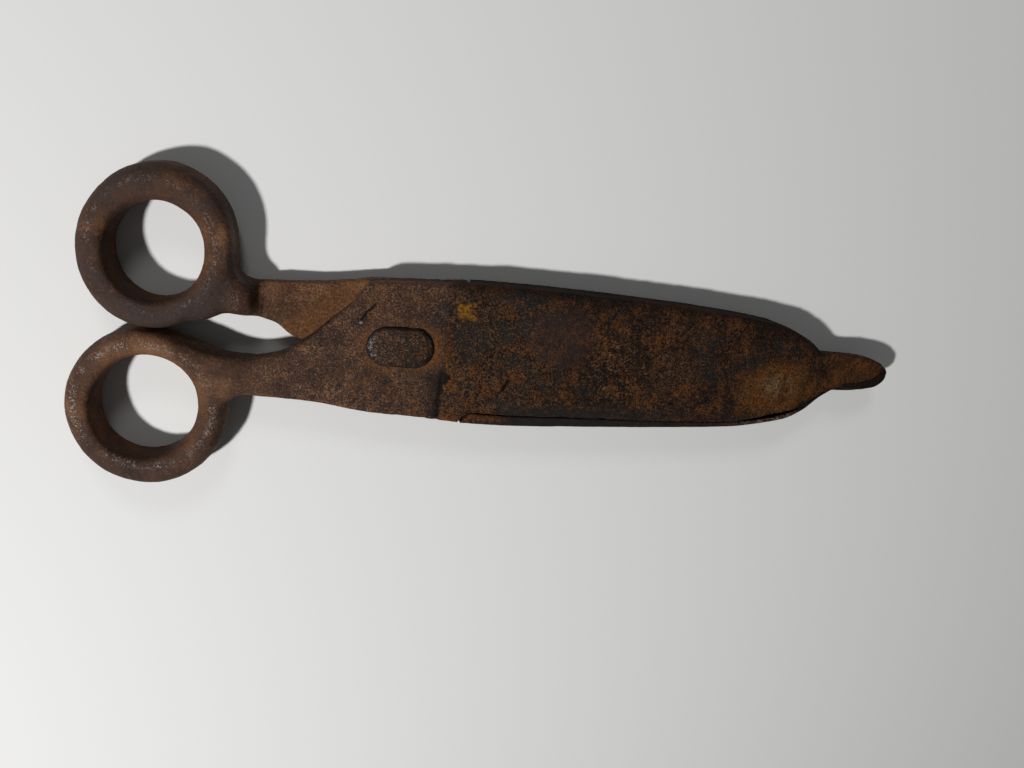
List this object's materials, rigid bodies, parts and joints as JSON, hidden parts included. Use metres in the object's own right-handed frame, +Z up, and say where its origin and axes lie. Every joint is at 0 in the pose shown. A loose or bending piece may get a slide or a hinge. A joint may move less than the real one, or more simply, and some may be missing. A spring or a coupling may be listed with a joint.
{
  "type": "ember tongs",
  "caption": "Scissor-type iron tongs with oval finger rings and a hollow leaf-shaped mouth, for carrying a glowing ember.",
  "frame": {"origin": "on the pivot axis, on the surface the tool lies on, which is the rivet tail's flat back", "axes": "+X from the pivot towards the tip, +Y across the closed tool towards the rear ring, +Z up out of the resting surface towards the rivet's oblong head"},
  "size_m": [0.2345, 0.0864, 0.0131],
  "materials": {
    "arm_iron": "worn brown rust over forged iron",
    "jaw_iron": "rough pitted orange-brown rust and fire scale",
    "rivet_iron": "smooth dark worn iron"
  },
  "bodies": {
    "rear_half": {"rear_arm": "arm_iron", "rear_jaw": "jaw_iron"},
    "front_half": {"front_arm": "arm_iron", "front_jaw": "jaw_iron", "pivot_rivet": "rivet_iron"}
  },
  "joints": [
    {"name": "pivot_hinge", "type": "hinge", "parent": "rear_half", "child": "front_half", "pos_m": [0, 0, 0.0065], "axis": [0, 0, 1], "range_deg": [0, 50]}
  ]
}
